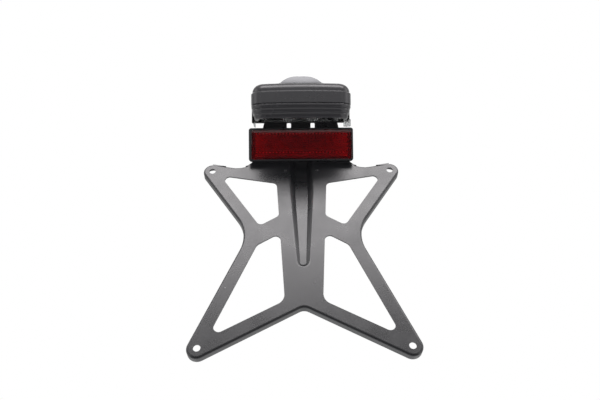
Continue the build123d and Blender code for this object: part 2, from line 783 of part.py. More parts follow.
# Clear lens: flange, shallow tub, screw pillars, front wall with two cheeks, and a lug on one side
tub_front = cover_start + cheek_wall
tub_depth = lens_top - tub_bottom
leg_inner = cheek_half_width - cheek_taper - cheek_wall
with BuildPart() as lamp_lens:
    for inset, height in ((lens_flange_inset, lens_flange_thickness), (tub_inset, tub_depth)):
        with BuildSketch(level(lens_top)):
            add(cover_plan.sketch)
            offset(amount=-inset)
            with Locations((0, cover_start)):
                Rectangle(4 * plan_start[0], lamp_top, align=(Align.CENTER, Align.MIN), mode=Mode.INTERSECT)
        extrude(amount=height)
    with BuildSketch(level(lens_top)):
        with Locations((0, screw_reach)):
            with GridLocations(screw_spacing, 0, 2, 1):
                Circle(screw_pillar_diameter / 2)
    extrude(amount=tub_depth)
    with BuildSketch(level(lens_top)):
        add(cover_plan.sketch)
        offset(amount=-tub_inset - tub_wall)
        with Locations((0, tub_front)):
            Rectangle(4 * plan_start[0], lamp_top, align=(Align.CENTER, Align.MIN), mode=Mode.INTERSECT)
        with Locations((0, screw_reach)):
            with GridLocations(screw_spacing, 0, 2, 1):
                Circle(screw_pillar_diameter / 2, mode=Mode.SUBTRACT)
    extrude(amount=tub_depth - tub_wall, mode=Mode.SUBTRACT)
    # Front wall and the two cheeks that close the cover's corners
    with BuildSketch(neck.offset(cover_start)):
        with BuildLine():
            FilletPolyline(
                (-cheek_half_width, cheek_top),
                (-cheek_half_width + cheek_taper, cheek_bottom),
                (cheek_half_width - cheek_taper, cheek_bottom),
                (cheek_half_width, cheek_top),
                radius=[0, cheek_wall, cheek_wall, 0],
                close=True,
            )
        make_face()
        with Locations((0, cheek_bottom)):
            Rectangle(
                2 * leg_inner,
                tub_bottom - cheek_bottom,
                align=(Align.CENTER, Align.MIN),
                mode=Mode.SUBTRACT,
            )
    extrude(amount=cheek_wall)
    for side in (1, -1):
        with BuildSketch(neck.offset(cover_start)):
            with BuildLine():
                Polyline(
                    (side * cheek_half_width, cheek_top),
                    (side * (cheek_half_width - cheek_taper), cheek_bottom + cheek_wall),
                    (side * leg_inner, cheek_bottom + cheek_wall),
                    (side * (cheek_half_width - cheek_wall), cheek_top),
                    close=True,
                )
            make_face()
        extrude(amount=cheek_depth)
    with BuildSketch(neck.offset(cover_start)):
        with Locations((cheek_half_width + lug_overhang, lug_bottom)):
            Rectangle(lug_width, tub_bottom + cheek_wall - lug_bottom, align=(Align.MAX, Align.MIN))
    extrude(amount=lug_depth)
    # Screw holes and the pockets for the screw heads
    with BuildSketch(level(lens_top)):
        with Locations((0, screw_reach)):
            with GridLocations(screw_spacing, 0, 2, 1):
                Circle(screw_diameter / 2)
    extrude(amount=lens_flange_thickness, mode=Mode.SUBTRACT)
    with BuildSketch(level(lens_flange_bottom)):
        with Locations((0, screw_reach)):
            with GridLocations(screw_spacing, 0, 2, 1):
                Circle(screw_pocket_diameter / 2)
    extrude(amount=tub_depth, mode=Mode.SUBTRACT)

with BuildPart() as lens_screws:
    with BuildSketch(level(lens_flange_bottom + screw_length)):
        with Locations((0, screw_reach)):
            with GridLocations(screw_spacing, 0, 2, 1):
                Circle(screw_diameter / 2)
    extrude(amount=screw_length)
    with BuildSketch(level(lens_flange_bottom)):
        with Locations((0, screw_reach)):
            with GridLocations(screw_spacing, 0, 2, 1):
                Circle(screw_head_diameter / 2)
    extrude(amount=screw_head_height)
    with BuildSketch(level(lens_flange_bottom - screw_head_height)):
        with Locations((0, screw_reach)):
            with GridLocations(screw_spacing, 0, 2, 1):
                Rectangle(screw_slot_length, screw_slot_width)
                Rectangle(screw_slot_width, screw_slot_length)
    extrude(amount=-screw_slot_depth, mode=Mode.SUBTRACT)

# Bulb holder through the roof, its two blades, and the bulb that hangs in it
holder_bottom = roof_inner - holder_flange_thickness - holder_length
holder_top = lamp_top + holder_stub_height
bulb_cap_top = holder_bottom + bulb_cap_length
with BuildPart() as bulb_holder:
    with BuildSketch(level(holder_top)):
        with Locations((0, bulb_reach)):
            Circle(holder_stub_diameter / 2)
    extrude(amount=holder_top - holder_bottom)
    with BuildSketch(level(lamp_top)):
        with Locations((0, bulb_reach)):
            Circle(holder_diameter / 2)
    extrude(amount=cover_wall)
    with BuildSketch(level(roof_inner)):
        with Locations((0, bulb_reach)):
            Circle(holder_flange_diameter / 2)
    extrude(amount=holder_flange_thickness)
    with BuildSketch(level(bulb_cap_top)):
        with Locations((0, bulb_reach)):
            Circle(bulb_diameter / 2)
    extrude(amount=bulb_cap_length, mode=Mode.SUBTRACT)
    with BuildSketch(level(holder_top)):
        with Locations((0, bulb_reach)):
            with GridLocations(blade_spacing, 0, 2, 1):
                Rectangle(blade_thickness, blade_width)
    extrude(amount=holder_top - bulb_cap_top, mode=Mode.SUBTRACT)

with BuildPart() as bulb_contacts:
    with BuildSketch(level(holder_top + blade_reach)):
        with Locations((0, bulb_reach)):
            with GridLocations(blade_spacing, 0, 2, 1):
                Rectangle(blade_thickness, blade_width)
    extrude(amount=holder_top + blade_reach - bulb_cap_top)

with BuildPart() as bulb:
    with BuildSketch(level(bulb_cap_top)):
        with Locations((0, bulb_reach)):
            Circle(bulb_diameter / 2)
    extrude(amount=bulb_cap_length + bulb_length)
    chamfer(bulb.faces().sort_by(Axis(neck.origin, up))[0].edges(), length=bulb_chamfer)

# Eight-sided mirror pressed on the holder's skirt
mirror_top = roof_inner - holder_flange_thickness
mirror_bottom = mirror_top - mirror_height
mirror_mouth = mirror_neck_radius + mirror_flare
mirror_slant = mirror_flare * mirror_wall / mirror_height
with BuildPart() as mirror_hollow:
    with BuildSketch(level(mirror_top - mirror_wall)):
        with Locations((0, bulb_reach)):
            RegularPolygon(mirror_neck_radius - mirror_wall + mirror_slant, 8)
    with BuildSketch(level(mirror_bottom - mirror_wall)):
        with Locations((0, bulb_reach)):
            RegularPolygon(mirror_mouth - mirror_wall + mirror_slant, 8)
    loft(ruled=True)

with BuildPart() as lamp_mirror:
    with BuildSketch(level(mirror_top)):
        with Locations((0, bulb_reach)):
            RegularPolygon(mirror_neck_radius, 8)
    with BuildSketch(level(mirror_bottom)):
        with Locations((0, bulb_reach)):
            RegularPolygon(mirror_mouth, 8)
    loft(ruled=True)
    with BuildSketch(level(mirror_bottom)):
        with Locations((0, bulb_reach)):
            RegularPolygon(mirror_mouth + mirror_flange, 8)
    extrude(amount=mirror_wall)
    add(mirror_hollow.part, mode=Mode.SUBTRACT)
    with BuildSketch(level(mirror_top)):
        with Locations((0, bulb_reach)):
            Circle(holder_stub_diameter / 2)
    extrude(amount=mirror_wall, mode=Mode.SUBTRACT)

# Rubber boot over the holder, with the lead's inlet towards the carrier
inlet_mouth = Plane(origin=neck.from_local_coords((0, lamp_top + inlet_rise, inlet_end_reach)), z_dir=out)
inlet_length = bulb_reach - inlet_end_reach
stub_room = holder_stub_height + boot_clearance
blade_room = holder_stub_height + blade_reach + boot_clearance
with BuildPart() as holder_boot:
    with BuildSketch(neck.offset(bulb_reach - boot_half_depth)):
        with BuildLine():
            ThreePointArc(
                (-boot_half_width, lamp_top),
                (0, lamp_top + boot_height),
                (boot_half_width, lamp_top),
            )
            Line((boot_half_width, lamp_top), (-boot_half_width, lamp_top))
        make_face()
    extrude(amount=2 * boot_half_depth)
    with BuildSketch(side_view):
        with BuildLine():
            ThreePointArc(
                (bulb_reach - boot_half_depth, lamp_top),
                (bulb_reach, lamp_top + boot_height),
                (bulb_reach + boot_half_depth, lamp_top),
            )
            Line((bulb_reach + boot_half_depth, lamp_top), (bulb_reach - boot_half_depth, lamp_top))
        make_face()
    extrude(amount=boot_half_width, both=True, mode=Mode.INTERSECT)
    with BuildSketch(level(lamp_top + boot_rim_height)):
        with Locations((0, bulb_reach)):
            RectangleRounded(
                2 * (boot_half_width + boot_rim),
                2 * (boot_half_depth + boot_rim),
                boot_corner_radius,
            )
    extrude(amount=boot_rim_height)
    with BuildSketch(inlet_mouth):
        Circle(inlet_diameter / 2)
    extrude(amount=inlet_length)
    # Room for the holder's stub, for its blades and for the lead
    with BuildSketch(level(lamp_top)):
        with Locations((0, bulb_reach)):
            Circle(holder_stub_diameter / 2 + boot_clearance)
    extrude(amount=-stub_room, mode=Mode.SUBTRACT)
    with BuildSketch(level(lamp_top)):
        with Locations((0, bulb_reach)):
            Rectangle(blade_spacing + blade_width, blade_width + 2 * blade_thickness)
    extrude(amount=-blade_room, mode=Mode.SUBTRACT)
    with BuildSketch(inlet_mouth):
        Circle(inlet_bore / 2)
    extrude(amount=inlet_length, mode=Mode.SUBTRACT)

# Grommets in the neck, spacer collars in them, and the flanged bolts from behind
grommet_back = -(sheet + grommet_flange_thickness)
collar_diameter = bolt_diameter + 2 * collar_wall
with BuildPart() as lamp_grommets:
    with BuildSketch(neck.offset(lamp_base_gap)):
        with Locations((0, lamp_bolt_level)):
            with GridLocations(lamp_bolt_spacing, 0, 2, 1):
                Circle(grommet_flange_diameter / 2)
    extrude(amount=-lamp_base_gap)
    with BuildSketch(neck.offset(-sheet)):
        with Locations((0, lamp_bolt_level)):
            with GridLocations(lamp_bolt_spacing, 0, 2, 1):
                Circle(grommet_flange_diameter / 2)
    extrude(amount=-grommet_flange_thickness)
    with BuildSketch(neck):
        with Locations((0, lamp_bolt_level)):
            with GridLocations(lamp_bolt_spacing, 0, 2, 1):
                Circle(grommet_waist_diameter / 2)
    extrude(amount=-sheet)
    with BuildSketch(neck.offset(lamp_base_gap)):
        with Locations((0, lamp_bolt_level)):
            with GridLocations(lamp_bolt_spacing, 0, 2, 1):
                Circle(collar_diameter / 2)
    extrude(amount=grommet_back - lamp_base_gap, mode=Mode.SUBTRACT)

with BuildPart() as lamp_collars:
    with BuildSketch(neck.offset(lamp_base_gap)):
        with Locations((0, lamp_bolt_level)):
            with GridLocations(lamp_bolt_spacing, 0, 2, 1):
                Circle(collar_diameter / 2)
                Circle(bolt_diameter / 2, mode=Mode.SUBTRACT)
    extrude(amount=grommet_back - lamp_base_gap)

with BuildPart() as lamp_bolts:
    with BuildSketch(neck.offset(lamp_bolt_tip)):
        with Locations((0, lamp_bolt_level)):
            with GridLocations(lamp_bolt_spacing, 0, 2, 1):
                Circle(bolt_diameter / 2)
    extrude(amount=grommet_back - lamp_bolt_tip)
    with BuildSketch(neck.offset(grommet_back)):
        with Locations((0, lamp_bolt_level)):
            with GridLocations(lamp_bolt_spacing, 0, 2, 1):
                Circle(bolt_flange_diameter / 2)
    extrude(amount=-bolt_flange_thickness)
    with BuildSketch(neck.offset(grommet_back - bolt_flange_thickness)):
        with Locations((0, lamp_bolt_level)):
            with GridLocations(lamp_bolt_spacing, 0, 2, 1):
                RegularPolygon(bolt_head_across / 2, 6, major_radius=False)
    extrude(amount=-bolt_head_height)

os.makedirs("parts", exist_ok=True)
plate_carrier.part.label = "plate_carrier"
reflector_tray.part.label = "reflector_tray"
reflector_lens.part.label = "reflector_lens"
reflector_studs.part.label = "reflector_studs"
reflector_washers.part.label = "reflector_washers"
reflector_nuts.part.label = "reflector_nuts"
lamp_base.part.label = "lamp_base"
base_seal.part.label = "base_seal"
lamp_cover.part.label = "lamp_cover"
cover_screws.part.label = "cover_screws"
lens_gasket.part.label = "lens_gasket"
lamp_lens.part.label = "lamp_lens"
lens_screws.part.label = "lens_screws"
bulb_holder.part.label = "bulb_holder"
bulb_contacts.part.label = "bulb_contacts"
bulb.part.label = "bulb"
lamp_mirror.part.label = "lamp_mirror"
holder_boot.part.label = "holder_boot"
lamp_grommets.part.label = "lamp_grommets"
lamp_collars.part.label = "lamp_collars"
lamp_bolts.part.label = "lamp_bolts"
export_step(plate_carrier.part, "parts/plate_carrier.step")
export_step(reflector_tray.part, "parts/reflector_tray.step")
export_step(reflector_lens.part, "parts/reflector_lens.step")
export_step(reflector_studs.part, "parts/reflector_studs.step")
export_step(reflector_washers.part, "parts/reflector_washers.step")
export_step(reflector_nuts.part, "parts/reflector_nuts.step")
export_step(lamp_base.part, "parts/lamp_base.step")
export_step(base_seal.part, "parts/base_seal.step")
export_step(lamp_cover.part, "parts/lamp_cover.step")
export_step(cover_screws.part, "parts/cover_screws.step")
export_step(lens_gasket.part, "parts/lens_gasket.step")
export_step(lamp_lens.part, "parts/lamp_lens.step")
export_step(lens_screws.part, "parts/lens_screws.step")
export_step(bulb_holder.part, "parts/bulb_holder.step")
export_step(bulb_contacts.part, "parts/bulb_contacts.step")
export_step(bulb.part, "parts/bulb.step")
export_step(lamp_mirror.part, "parts/lamp_mirror.step")
export_step(holder_boot.part, "parts/holder_boot.step")
export_step(lamp_grommets.part, "parts/lamp_grommets.step")
export_step(lamp_collars.part, "parts/lamp_collars.step")
export_step(lamp_bolts.part, "parts/lamp_bolts.step")
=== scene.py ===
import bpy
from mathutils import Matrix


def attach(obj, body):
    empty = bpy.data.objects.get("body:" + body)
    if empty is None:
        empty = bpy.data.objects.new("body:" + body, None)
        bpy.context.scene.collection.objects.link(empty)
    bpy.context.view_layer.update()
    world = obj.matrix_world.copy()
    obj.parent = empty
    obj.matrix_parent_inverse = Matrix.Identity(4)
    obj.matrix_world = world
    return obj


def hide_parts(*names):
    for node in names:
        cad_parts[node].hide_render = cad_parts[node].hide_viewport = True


bl_info = {
    "name": "Tail Tidy",
    "version": (1, 0, 0),
    "blender": (4, 5, 0),
    "location": "View3D > Sidebar > Tail Tidy",
    "description": "Finishes the number-plate carrier, its reflector and its lamp, and sets up the studio",
    "category": "Object",
}

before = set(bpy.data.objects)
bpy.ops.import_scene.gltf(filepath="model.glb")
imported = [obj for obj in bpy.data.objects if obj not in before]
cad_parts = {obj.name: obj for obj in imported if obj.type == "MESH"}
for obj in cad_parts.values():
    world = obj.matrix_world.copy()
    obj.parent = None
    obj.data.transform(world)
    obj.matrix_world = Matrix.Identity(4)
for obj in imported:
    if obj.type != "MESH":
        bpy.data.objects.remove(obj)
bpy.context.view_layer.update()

from math import copysign, cos, pi, radians, sin, sqrt

import bmesh
import bpy
from mathutils import Matrix, Vector

MM = 0.001
NECK_LEAN = radians(35)
NECK_FOOT = Vector((0, 0, 0.1))
UP_NECK = Vector((0, -sin(NECK_LEAN), cos(NECK_LEAN)))
OUT_OF_NECK = Vector((0, -cos(NECK_LEAN), -sin(NECK_LEAN)))

# Sizes and places on the neck in millimetres: across, up the neck and out of its face
TRAY_MIDDLE_UP = 16.9
LENS_GROWTH = 1.9
LENS_SHIFT = 1.5 - LENS_GROWTH / 2
LENS_HOLLOW = (89.2 + LENS_GROWTH, 23.2)
LENS_HOLLOW_WIDENING = 1.4
HOLLOW_MARGIN = 0.2
HOLLOW_FLOOR_MARGIN = 1.0
LENS_LEFT_SIDE = (-47.0, -38.0)
CELL_FRONT = 5.4
PIN_SPACING = 3.2
PIN_HEIGHT = 0.5
PIN_RADIUS = 0.6
PIN_TIP_SHARE = 0.4
PIN_ROWS = (-7.6, 10.4)
CELL_DEPTH_SHARE = 0.32
# Painted highlight: between these distances from the middle, the prism cells are coloured lighter towards both ends
PAINTED_HIGHLIGHT_ENDS = (30.0, 47.0)

# Stage, in metres
LIGHT_TINT = (1.0, 0.97, 0.985)
LIGHT_AIM = Vector((0, 0, 0.03))
FLOOR_RADIUS = 3.0
FLOOR_FADE = (0.35, 1.1)
CAMERA_PLACE = Vector((-0.009918, -0.458584, -0.293459))
CAMERA_RIGHT = Vector((0.99986, -0.00605, -0.01549))
CAMERA_UP = Vector((0.00868, -0.60453, 0.79653))
CAMERA_BACK = Vector((-0.01419, -0.79656, -0.60440))
FLAG_WIDTH = 0.9
FLAG_LINE = ((0.05, -0.44), (-0.34, -0.43), (-0.6, -0.17))


def neck_point(across, up, out):
    """Place on the neck, given in millimetres across, up the neck and out of its face."""
    return NECK_FOOT + Vector((across, 0, 0)) * MM + UP_NECK * up * MM + OUT_OF_NECK * out * MM


def neck_matrix(across=0.0, up=0.0, out=0.0):
    """Turns a shape drawn with x across, y up the neck and z out of it, in metres, to its place."""
    turn = Matrix((Vector((1, 0, 0)), UP_NECK, OUT_OF_NECK)).transposed().to_4x4()
    return Matrix.Translation(neck_point(across, up, out)) @ turn


# ---- settings


class CarrierSettings(bpy.types.PropertyGroup):
    paint: bpy.props.FloatVectorProperty(
        name="Paint", description="Colour of the carrier's powder coat", subtype="COLOR", default=(0.02, 0.02, 0.022)
    )
    paint_roughness: bpy.props.FloatProperty(
        name="Paint roughness", description="Gloss of the powder coat", default=0.3, min=0.0, max=1.0, subtype="FACTOR"
    )
    edge_rounding: bpy.props.FloatProperty(
        name="Edge rounding", description="Roundness that the paint gives a cut edge", default=0.00025, unit="LENGTH"
    )


class ReflectorSettings(bpy.types.PropertyGroup):
    lens: bpy.props.FloatVectorProperty(
        name="Lens", description="Colour of the clear red lens", subtype="COLOR", default=(0.8, 0.012, 0.03)
    )
    cells: bpy.props.FloatVectorProperty(
        name="Cells", description="Colour deep in the prism cells", subtype="COLOR", default=(0.12, 0.01, 0.015)
    )
    # Painted highlight: a lighter cell colour towards both ends of the reflector, standing in for light caught there
    painted_highlight_cells: bpy.props.FloatVectorProperty(
        name="Bright cells",
        description="Colour of the prism cells at both ends",
        subtype="COLOR",
        default=(0.3, 0.035, 0.04),
    )
    cell_pitch: bpy.props.FloatProperty(
        name="Cell pitch", description="Distance between prism cells", default=0.0024, unit="LENGTH"
    )


class LampSettings(bpy.types.PropertyGroup):
    cover: bpy.props.FloatVectorProperty(
        name="Cover", description="Colour of the lamp's moulded cover", subtype="COLOR", default=(0.034, 0.033, 0.036)
    )
    boot: bpy.props.FloatVectorProperty(
        name="Boot", description="Colour of the rubber boot", subtype="COLOR", default=(0.33, 0.33, 0.34)
    )


class StageSettings(bpy.types.PropertyGroup):
    floor_drop: bpy.props.FloatProperty(
        name="Floor drop", description="How far the floor lies below the carrier's origin", default=0.45, unit="LENGTH"
    )
    key_power: bpy.props.FloatProperty(
        name="Key light", description="Power of the large soft light in front", default=22.0, unit="POWER"
    )


# ---- node helpers


def new_material(name):
    """An empty material with its Principled shader and output joined."""
    material = bpy.data.materials.new(name)
    material.use_nodes = True
    tree = material.node_tree
    tree.nodes.clear()
    shader = tree.nodes.new("ShaderNodeBsdfPrincipled")
    output = tree.nodes.new("ShaderNodeOutputMaterial")
    tree.links.new(shader.outputs["BSDF"], output.inputs["Surface"])
    return material, tree, shader


def add_node(tree, kind, inputs=None, **settings):
    """A node with its settings, and each input set to a value or joined to a socket."""
    node = tree.nodes.new(kind)
    for key, value in settings.items():
        setattr(node, key, value)
    for key, value in (inputs or {}).items():
        if isinstance(value, bpy.types.NodeSocket):
            tree.links.new(value, node.inputs[key])
        else:
            node.inputs[key].default_value = value
    return node


def new_group(name, inputs, outputs):
    """A shader node group with named inputs and outputs."""
    group = bpy.data.node_groups.new(name, "ShaderNodeTree")
    for label, kind, default in inputs:
        socket = group.interface.new_socket(name=label, in_out="INPUT", socket_type=kind)
        if default is not None:
            socket.default_value = default
    for label, kind in outputs:
        group.interface.new_socket(name=label, in_out="OUTPUT", socket_type=kind)
    entry = group.nodes.new("NodeGroupInput")
    leave = group.nodes.new("NodeGroupOutput")
    return group, entry, leave


def grain_group():
    """Fine moulded or sprayed grain: two sizes of noise, as a height and as a patchy mask."""
    group, entry, leave = new_group(
        "Fine grain",
        [("Grain size", "NodeSocketFloat", 0.0006), ("Patch size", "NodeSocketFloat", 0.02)],
        [("Height", "NodeSocketFloat"), ("Patches", "NodeSocketFloat")],
    )
    place = add_node(group, "ShaderNodeTexCoord")
    fine = add_node(group, "ShaderNodeMath", {0: 1.0, 1: entry.outputs["Grain size"]}, operation="DIVIDE")
    broad = add_node(group, "ShaderNodeMath", {0: 1.0, 1: entry.outputs["Patch size"]}, operation="DIVIDE")
    grain = add_node(
        group,
        "ShaderNodeTexNoise",
        {"Vector": place.outputs["Object"], "Scale": fine.outputs[0], "Detail": 2.0, "Roughness": 0.55},
    )
    patches = add_node(
        group,
        "ShaderNodeTexNoise",
        {"Vector": place.outputs["Object"], "Scale": broad.outputs[0], "Detail": 4.0, "Roughness": 0.6},
    )
    group.links.new(grain.outputs["Fac"], leave.inputs["Height"])
    group.links.new(patches.outputs["Fac"], leave.inputs["Patches"])
    return group


def speck_group():
    """Small dust specks: the middles of a few scattered cells."""
    group, entry, leave = new_group(
        "Dust specks",
        [("Spacing", "NodeSocketFloat", 0.006), ("Share", "NodeSocketFloat", 0.15), ("Size", "NodeSocketFloat", 0.07)],
        [("Mask", "NodeSocketFloat")],
    )
    place = add_node(group, "ShaderNodeTexCoord")
    scale = add_node(group, "ShaderNodeMath", {0: 1.0, 1: entry.outputs["Spacing"]}, operation="DIVIDE")
    cells = add_node(group, "ShaderNodeTexVoronoi", {"Vector": place.outputs["Object"], "Scale": scale.outputs[0]})
    dot = add_node(
        group,
        "ShaderNodeMath",
        {0: cells.outputs["Distance"], 1: entry.outputs["Size"]},
        operation="LESS_THAN",
    )
    apart = add_node(group, "ShaderNodeSeparateColor", {"Color": cells.outputs["Color"]})
    chosen = add_node(group, "ShaderNodeMath", {0: apart.outputs[0], 1: entry.outputs["Share"]}, operation="LESS_THAN")
    both = add_node(group, "ShaderNodeMath", {0: dot.outputs[0], 1: chosen.outputs[0]}, operation="MULTIPLY")
    group.links.new(both.outputs[0], leave.inputs["Mask"])
    return group


def finish_material(
    name,
    colour,
    roughness,
    grain_size=0.0006,
    grain_height=0.00002,
    patch_size=0.03,
    colour_spread=0.12,
    roughness_spread=0.06,
    specks=0.0,
    metallic=0.0,
    specular=0.5,
):
    """Opaque finish: a colour and a gloss that vary in patches, over fine grain, with a little dust."""
    material, tree, shader = new_material(name)
    grain = add_node(tree, "ShaderNodeGroup", node_tree=bpy.data.node_groups["Fine grain"])
    grain.inputs["Grain size"].default_value = grain_size
    grain.inputs["Patch size"].default_value = patch_size
    dark = tuple(c * (1 - colour_spread) for c in colour) + (1,)
    light = tuple(min(1, c * (1 + colour_spread)) for c in colour) + (1,)
    blend = add_node(tree, "ShaderNodeMix", data_type="RGBA")
    tree.links.new(grain.outputs["Patches"], blend.inputs["Factor"])
    blend.inputs[6].default_value = dark
    blend.inputs[7].default_value = light
    surface = blend.outputs[2]
    if specks:
        dust = add_node(tree, "ShaderNodeGroup", node_tree=bpy.data.node_groups["Dust specks"])
        dust.inputs["Share"].default_value = specks
        dusty = add_node(tree, "ShaderNodeMix", data_type="RGBA")
        tree.links.new(dust.outputs["Mask"], dusty.inputs["Factor"])
        tree.links.new(surface, dusty.inputs[6])
        dusty.inputs[7].default_value = (0.35, 0.35, 0.36, 1)
        surface = dusty.outputs[2]
    tree.links.new(surface, shader.inputs["Base Color"])
    gloss = add_node(
        tree,
        "ShaderNodeMapRange",
        {
            "Value": grain.outputs["Patches"],
            "From Min": 0.3,
            "From Max": 0.7,
            "To Min": max(0.02, roughness - roughness_spread),
            "To Max": roughness + roughness_spread,
        },
    )
    tree.links.new(gloss.outputs["Result"], shader.inputs["Roughness"])
    bump = add_node(
        tree,
        "ShaderNodeBump",
        {"Height": grain.outputs["Height"], "Strength": 1.0, "Distance": grain_height},
    )
    tree.links.new(bump.outputs["Normal"], shader.inputs["Normal"])
    shader.inputs["Metallic"].default_value = metallic
    shader.inputs["Specular IOR Level"].default_value = specular
    return material


def painted_highlight_ends(material, colour, start, end):
    """Painted highlight: blends a material's colour into another, lighter one towards both ends of the part, between
    two distances from the middle, standing in for light caught at the ends.
    """
    tree = material.node_tree
    shader = next(node for node in tree.nodes if node.type == "BSDF_PRINCIPLED")
    place = add_node(tree, "ShaderNodeTexCoord")
    axes = add_node(tree, "ShaderNodeSeparateXYZ", {"Vector": place.outputs["Object"]})
    across = add_node(tree, "ShaderNodeMath", {0: axes.outputs["X"]}, operation="ABSOLUTE")
    fade = add_node(tree, "ShaderNodeMapRange", {"Value": across.outputs[0], "From Min": start, "From Max": end})
    blend = add_node(tree, "ShaderNodeMix", {"Factor": fade.outputs["Result"]}, data_type="RGBA")
    tree.links.new(shader.inputs["Base Color"].links[0].from_socket, blend.inputs[6])
    blend.inputs[7].default_value = tuple(colour) + (1,)
    tree.links.new(blend.outputs[2], shader.inputs["Base Color"])


def clear_material(name, colour, roughness, ripple_size, ripple_height, ior=1.49, flute_pitch=0.0, flute_height=0.0):
    """Clear moulded plastic or glass with a faint ripple, and with upright flutes where it has any."""
    material, tree, shader = new_material(name)
    shader.inputs["Base Color"].default_value = tuple(colour) + (1,)
    shader.inputs["Transmission Weight"].default_value = 1.0
    shader.inputs["Roughness"].default_value = roughness
    shader.inputs["IOR"].default_value = ior
    grain = add_node(tree, "ShaderNodeGroup", node_tree=bpy.data.node_groups["Fine grain"])
    grain.inputs["Grain size"].default_value = ripple_size
    bump = add_node(
        tree,
        "ShaderNodeBump",
        {"Height": grain.outputs["Height"], "Strength": 1.0, "Distance": ripple_height},
    )
    if flute_pitch:
        place = add_node(tree, "ShaderNodeTexCoord")
        axes = add_node(tree, "ShaderNodeSeparateXYZ", {"Vector": place.outputs["Object"]})
        turns = add_node(tree, "ShaderNodeMath", {0: axes.outputs["X"], 1: 2 * pi / flute_pitch}, operation="MULTIPLY")
        wave = add_node(tree, "ShaderNodeMath", {0: turns.outputs[0]}, operation="SINE")
        bump = add_node(
            tree,
            "ShaderNodeBump",
            {"Height": wave.outputs[0], "Strength": 1.0, "Distance": flute_height, "Normal": bump.outputs["Normal"]},
        )
    tree.links.new(bump.outputs["Normal"], shader.inputs["Normal"])
    return material


# ---- shape helpers


def give_material(obj, material):
    """Leaves one material on an object."""
    obj.data.materials.clear()
    obj.data.materials.append(material)


def placed(shape, name):
    """Turns a bmesh into an object in the scene."""
    mesh = bpy.data.meshes.new(name)
    shape.to_mesh(mesh)
    shape.free()
    obj = bpy.data.objects.new(name, mesh)
    bpy.context.scene.collection.objects.link(obj)
    return obj


def finish_piece(shape, name, material, smooth_angle=radians(35)):
    """Turns a bmesh into a piece that rides on the part, smooth apart from its sharp edges."""
    piece = placed(shape, name)
    piece.data.shade_smooth()
    piece.data.set_sharp_from_angle(angle=smooth_angle)
    give_material(piece, material)
    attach(piece, "root")
    return piece


def widen_hollow(shape):
    """Thins the walls round the hollow behind the red lens, so that the cells reach close to its edge."""
    turn = neck_matrix(LENS_SHIFT, TRAY_MIDDLE_UP, 0)
    for vert in shape.verts:
        across, up, out = turn.inverted() @ vert.co / MM
        beside = abs(across) < LENS_HOLLOW[0] / 2 + HOLLOW_MARGIN and abs(up) < LENS_HOLLOW[1] / 2 + HOLLOW_MARGIN
        if beside and out < CELL_FRONT + HOLLOW_FLOOR_MARGIN:
            step = Vector((copysign(1, across), copysign(1, up), 0)) * LENS_HOLLOW_WIDENING * MM
            bmesh.ops.translate(shape, verts=[vert], vec=turn.to_3x3() @ step)


def dressed(node, material, rounding, smooth_angle=radians(32), grown=False):
    """A merged copy of a CAD node with softened edges, which stands for the node."""
    shape = bmesh.new()
    shape.from_mesh(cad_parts[node].data)
    bmesh.ops.remove_doubles(shape, verts=shape.verts, dist=1e-7)
    bmesh.ops.dissolve_limit(shape, angle_limit=radians(0.2), verts=shape.verts, edges=shape.edges)
    if grown:
        low, high = LENS_LEFT_SIDE[0] * MM, LENS_LEFT_SIDE[1] * MM
        side = [vert for vert in shape.verts if low < vert.co.x < high]
        bmesh.ops.translate(shape, verts=side, vec=(-LENS_GROWTH * MM, 0, 0))
    if node == "reflector_lens":
        widen_hollow(shape)
    piece = finish_piece(shape, f"{node}_finished", material, smooth_angle)
    bevel = piece.modifiers.new("Edge rounding", "BEVEL")
    bevel.width = rounding
    bevel.segments = 2
    bevel.limit_method = "ANGLE"
    bevel.angle_limit = radians(40)
    flat = piece.modifiers.new("Flat faces stay flat", "WEIGHTED_NORMAL")
    flat.weight = 100
    flat.keep_sharp = True
    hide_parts(node)
    return piece


# ---- operators


